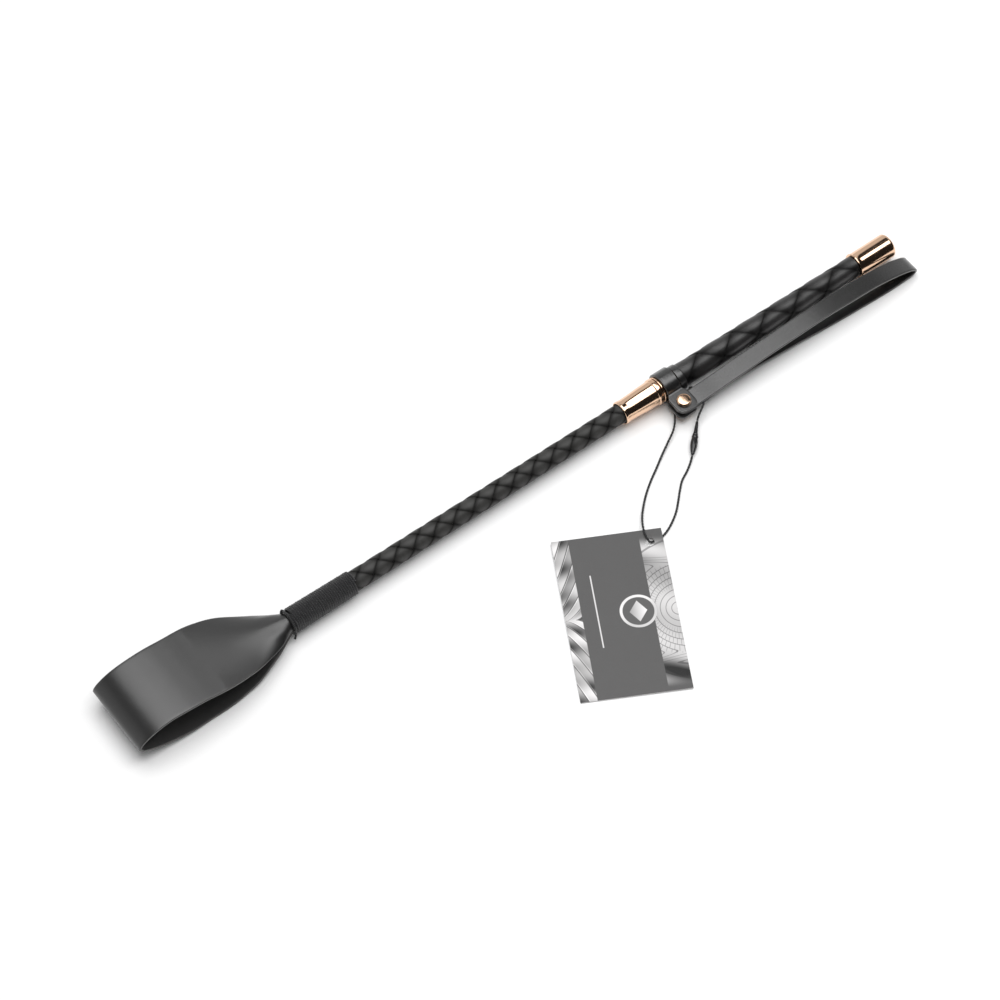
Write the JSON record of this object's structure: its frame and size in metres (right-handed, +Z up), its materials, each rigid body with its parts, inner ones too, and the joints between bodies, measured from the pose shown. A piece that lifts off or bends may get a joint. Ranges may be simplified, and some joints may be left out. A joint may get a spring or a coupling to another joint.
{
  "type": "riding crop",
  "caption": "Short leather riding crop with a folded popper, plaited shaft, plaited grip, gold-coloured ferrule and end cap, wrist strap on a riveted collar, and a shop tag on a cord.",
  "frame": {"origin": "On the surface that the crop lies on, under its own axis, halfway along its length.", "axes": "+X runs along the crop from the popper to the butt, +Z is up, and the wrist strap and its rivet are on the -Y side."},
  "size_m": [0.4685, 0.1623, 0.0217],
  "materials": {
    "smooth_leather": "satin, fine grain, cut edges",
    "strap_leather": "smooth, half gloss, cut edges",
    "shaft_plait": "plaited laces, satin",
    "grip_plait": "plaited laces, matt",
    "black_thread": "waxed thread, wound",
    "rose_gold": "polished rose gold plate",
    "tag_card": "laminated grey card with silver bands",
    "tag_cord": "twisted cord",
    "seal_plastic": "black, half gloss",
    "glass_fibre": "bare, hidden inside the shaft",
    "core_plastic": "bare, hidden inside the handle"
  },
  "bodies": {
    "crop": {"core_rod": "glass_fibre", "handle_core": "core_plastic", "shaft_braid": "shaft_plait", "ferrule": "rose_gold", "neck_ring": "rose_gold", "grip_end_band": "grip_plait", "grip_braid": "grip_plait", "end_cap": "rose_gold", "whipping": "black_thread", "whipping_end_turn": "black_thread"},
    "popper_leaf": {"popper": "smooth_leather"},
    "collar": {"strap_collar": "strap_leather", "rivet_cap": "rose_gold", "rivet_post": "rose_gold"},
    "wrist_loop": {"wrist_strap": "strap_leather", "tag_cord": "tag_cord", "tag_seal_plug": "seal_plastic", "tag_seal_socket": "seal_plastic"},
    "card": {"tag_card": "tag_card"}
  },
  "joints": [
    {"name": "popper_flex", "type": "hinge", "parent": "crop", "child": "popper_leaf", "pos_m": [-0.137, 0, 0.0081], "axis": [0, 1, 0], "range_deg": [-25, 25], "stiffness_Nm_per_rad": 0.35, "deforming": ["popper"]},
    {"name": "collar_turn", "type": "hinge", "parent": "crop", "child": "collar", "pos_m": [0.0886, 0, 0.0081], "axis": [1, 0, 0], "continuous": true},
    {"name": "strap_swing", "type": "hinge", "parent": "collar", "child": "wrist_loop", "pos_m": [0.0886, -0.0144, 0.0081], "axis": [0, 0, 1], "range_deg": [-40, 0]},
    {"name": "card_turn", "type": "hinge", "parent": "wrist_loop", "child": "card", "pos_m": [0.0288, -0.0639, 0.0019], "axis": [0, 0, 1], "range_deg": [-45, 45]}
  ]
}
